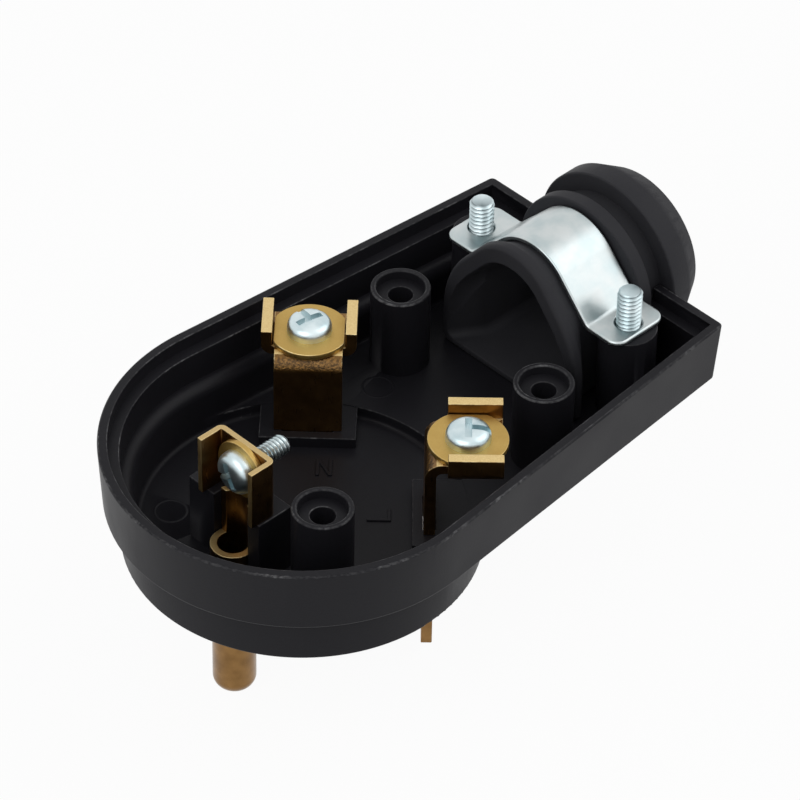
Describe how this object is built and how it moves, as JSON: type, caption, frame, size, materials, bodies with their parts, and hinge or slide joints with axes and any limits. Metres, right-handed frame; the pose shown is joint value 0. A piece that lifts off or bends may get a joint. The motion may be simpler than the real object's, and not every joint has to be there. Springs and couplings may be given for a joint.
{
  "type": "caravan power plug, open base half",
  "caption": "Open base half of a caravan power plug: moulded tray with angled blade contacts, a round ground pin, terminal screws, a cord strap and a rubber cable grommet.",
  "frame": {"origin": "centre of the round plug face, on its outer surface", "axes": "+Z from the plug face up to the open side with the terminals, so the pins point down; +X from the rounded nose to the cable entry"},
  "size_m": [0.1097, 0.065, 0.0574],
  "materials": {
    "housing_plastic": "satin moulded charcoal black",
    "grommet_rubber": "matt black",
    "zinc_steel": "bright zinc plate",
    "contact_brass": "rolled strip",
    "washer_brass": "matt pale gold"
  },
  "bodies": {
    "root": {"housing": "housing_plastic", "cord_grommet": "grommet_rubber", "cord_clamp": "zinc_steel", "clamp_screw_left": "zinc_steel", "clamp_screw_right": "zinc_steel", "neutral_screw": "zinc_steel", "line_screw": "zinc_steel", "ground_screw": "zinc_steel", "neutral_contact": "contact_brass", "line_contact": "contact_brass", "ground_contact": "contact_brass", "neutral_washer": "washer_brass", "line_washer": "washer_brass", "ground_washer": "washer_brass"}
  },
  "joints": []
}
